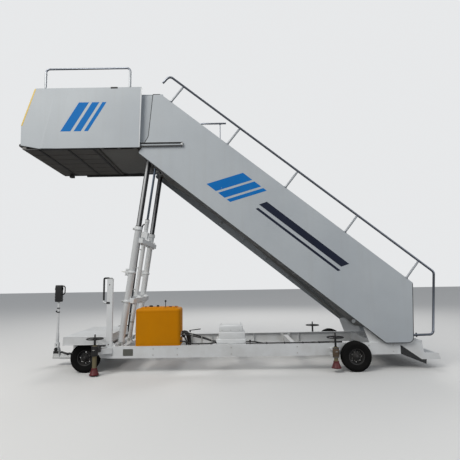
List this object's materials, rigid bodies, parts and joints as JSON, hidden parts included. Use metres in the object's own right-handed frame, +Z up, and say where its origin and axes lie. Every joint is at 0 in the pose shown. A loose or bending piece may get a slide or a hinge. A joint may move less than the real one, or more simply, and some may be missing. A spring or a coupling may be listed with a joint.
{
  "type": "mobile aircraft boarding stairs",
  "caption": "Towable boarding stairs for aircraft: a flight raised on telescopic legs, a self-levelling platform, a sliding cabin, steered front wheels, screw jacks and a folding tow bar.",
  "frame": {"origin": "on the ground under the middle of the whole machine", "axes": "+X towards the foot of the stairs, -X towards the tow bar and the aircraft, +Z up, the left side on -Y"},
  "size_m": [7.06, 2.126, 5.2668],
  "materials": {
    "white_paint": "semi-gloss, a little dusty",
    "panel_paint": "satin light grey",
    "yellow_paint": "semi-gloss orange yellow",
    "dark_paint": "satin charcoal",
    "tube_paint": "satin blue grey",
    "jack": "satin, red feet and dark tubes",
    "chromed_rod": "polished",
    "steel": "brushed",
    "tread_metal": "ribbed, matt",
    "rim": "satin charcoal",
    "tyre": "matt",
    "rubber": "matt"
  },
  "bodies": {
    "chassis": {"chassis_frame": "white_paint", "front_deck": "white_paint", "tail_steps": "white_paint", "flight_brackets": "white_paint", "front_axle": "dark_paint", "rear_axle": "dark_paint", "jack_sleeves": "white_paint", "front_post": "white_paint", "power_unit": "yellow_paint", "power_block": "dark_paint", "valve_box": "white_paint"},
    "leg_outer": {"leg_sleeve_left": "white_paint", "leg_sleeve_right": "white_paint", "leg_beams": "white_paint", "lift_barrel": "white_paint"},
    "leg_inner": {"leg_tubes": "tube_paint", "lift_rod": "chromed_rod"},
    "flight": {"stringer_left": "white_paint", "stringer_right": "white_paint", "lift_beam": "white_paint", "stair_treads": "tread_metal", "flight_panel_left": "panel_paint", "flight_panel_right": "panel_paint", "handrail_left": "tube_paint", "handrail_right": "tube_paint", "stair_lamp": "tube_paint"},
    "level_links": {"level_links": "white_paint"},
    "platform": {"platform_frame": "dark_paint", "platform_side_left": "panel_paint", "platform_side_right": "panel_paint"},
    "cabin": {"cabin_side_left": "panel_paint", "cabin_side_right": "panel_paint", "cabin_floor": "dark_paint", "cabin_tongue": "dark_paint", "guard_rails": "tube_paint", "front_bumper": "rubber", "cabin_lamp": "dark_paint"},
    "tie_rod": {"tie_rod": "steel"},
    "steering_yoke": {"steering_yoke": "white_paint"},
    "tow_bar": {"tow_bar": "white_paint"},
    "knuckle_left": {"knuckle_left": "dark_paint"},
    "knuckle_right": {"knuckle_right": "dark_paint"},
    "wheel_front_left": {"rim_front_left": "rim", "tyre_front_left": "tyre"},
    "jack_front_left": {"jack_front_left": "jack"},
    "wheel_front_right": {"rim_front_right": "rim", "tyre_front_right": "tyre"},
    "jack_front_right": {"jack_front_right": "jack"},
    "wheel_rear_left": {"rim_rear_left": "rim", "tyre_rear_left": "tyre"},
    "jack_rear_left": {"jack_rear_left": "jack"},
    "wheel_rear_right": {"rim_rear_right": "rim", "tyre_rear_right": "tyre"},
    "jack_rear_right": {"jack_rear_right": "jack"}
  },
  "joints": [
    {"name": "flight_raise", "type": "hinge", "parent": "chassis", "child": "flight", "pos_m": [2.56, 0, 0.64], "axis": [0, 1, 0], "range_deg": [-11, 2]},
    {"name": "platform_level", "type": "hinge", "parent": "flight", "child": "platform", "pos_m": [-0.96, 0, 3.73], "axis": [0, 1, 0], "range_deg": [-2, 11]},
    {"name": "level_link_swing", "type": "hinge", "parent": "chassis", "child": "level_links", "pos_m": [2.54, 0, 0.53], "axis": [0, 1, 0], "range_deg": [-11, 2]},
    {"name": "leg_lean", "type": "hinge", "parent": "chassis", "child": "leg_outer", "pos_m": [-1.783, 0, 0.45], "axis": [0, 1, 0], "range_deg": [-9.1, 1.7]},
    {"name": "leg_extend", "type": "slide", "parent": "leg_outer", "child": "leg_inner", "axis": [0.1387, 0, 0.9903], "range_m": [-0.83, 0.152]},
    {"name": "cabin_slide", "type": "slide", "parent": "platform", "child": "cabin", "axis": [1, 0, 0], "range_m": [0, 0.58]},
    {"name": "steering", "type": "hinge", "parent": "chassis", "child": "steering_yoke", "pos_m": [-2.36, 0, 0.15], "axis": [0, 0, 1], "range_deg": [-25, 25]},
    {"name": "knuckle_left_turn", "type": "hinge", "parent": "chassis", "child": "knuckle_left", "pos_m": [-2.36, -0.5, 0.24], "axis": [0, 0, 1], "range_deg": [-25, 25]},
    {"name": "knuckle_right_turn", "type": "hinge", "parent": "chassis", "child": "knuckle_right", "pos_m": [-2.36, 0.5, 0.24], "axis": [0, 0, 1], "range_deg": [-25, 25]},
    {"name": "tie_rod_turn", "type": "hinge", "parent": "knuckle_left", "child": "tie_rod", "pos_m": [-2.21, -0.5, 0.18], "axis": [0, 0, 1], "range_deg": [-25, 25]},
    {"name": "tow_bar_fold", "type": "hinge", "parent": "steering_yoke", "child": "tow_bar", "pos_m": [-3.11, 0, 0.29], "axis": [0, 1, 0], "range_deg": [-95, 0]},
    {"name": "wheel_front_left_roll", "type": "hinge", "parent": "knuckle_left", "child": "wheel_front_left", "pos_m": [-2.36, -0.625, 0.24], "axis": [0, 1, 0], "continuous": true},
    {"name": "wheel_front_right_roll", "type": "hinge", "parent": "knuckle_right", "child": "wheel_front_right", "pos_m": [-2.36, 0.625, 0.24], "axis": [0, 1, 0], "continuous": true},
    {"name": "wheel_rear_left_roll", "type": "hinge", "parent": "chassis", "child": "wheel_rear_left", "pos_m": [2.11, -0.876, 0.24], "axis": [0, 1, 0], "continuous": true},
    {"name": "wheel_rear_right_roll", "type": "hinge", "parent": "chassis", "child": "wheel_rear_right", "pos_m": [2.11, 0.876, 0.24], "axis": [0, 1, 0], "continuous": true},
    {"name": "jack_front_left_lower", "type": "slide", "parent": "chassis", "child": "jack_front_left", "axis": [0, 0, -1], "range_m": [-0.15, 0.019]},
    {"name": "jack_rear_left_lower", "type": "slide", "parent": "chassis", "child": "jack_rear_left", "axis": [0, 0, -1], "range_m": [-0.045, 0.068]},
    {"name": "jack_front_right_lower", "type": "slide", "parent": "chassis", "child": "jack_front_right", "axis": [0, 0, -1], "range_m": [-0.15, 0.019]},
    {"name": "jack_rear_right_lower", "type": "slide", "parent": "chassis", "child": "jack_rear_right", "axis": [0, 0, -1], "range_m": [-0.045, 0.068]}
  ],
  "couplings": [
    {"joint": "platform_level", "follows": "flight_raise", "ratio": -1},
    {"joint": "level_link_swing", "follows": "flight_raise", "ratio": 1},
    {"joint": "leg_lean", "follows": "flight_raise", "ratio": 0.81849},
    {"joint": "leg_extend", "follows": "flight_raise", "m_per_rad": 4.3097},
    {"joint": "knuckle_left_turn", "follows": "steering", "ratio": 1},
    {"joint": "knuckle_right_turn", "follows": "steering", "ratio": 1},
    {"joint": "tie_rod_turn", "follows": "steering", "ratio": -1}
  ]
}
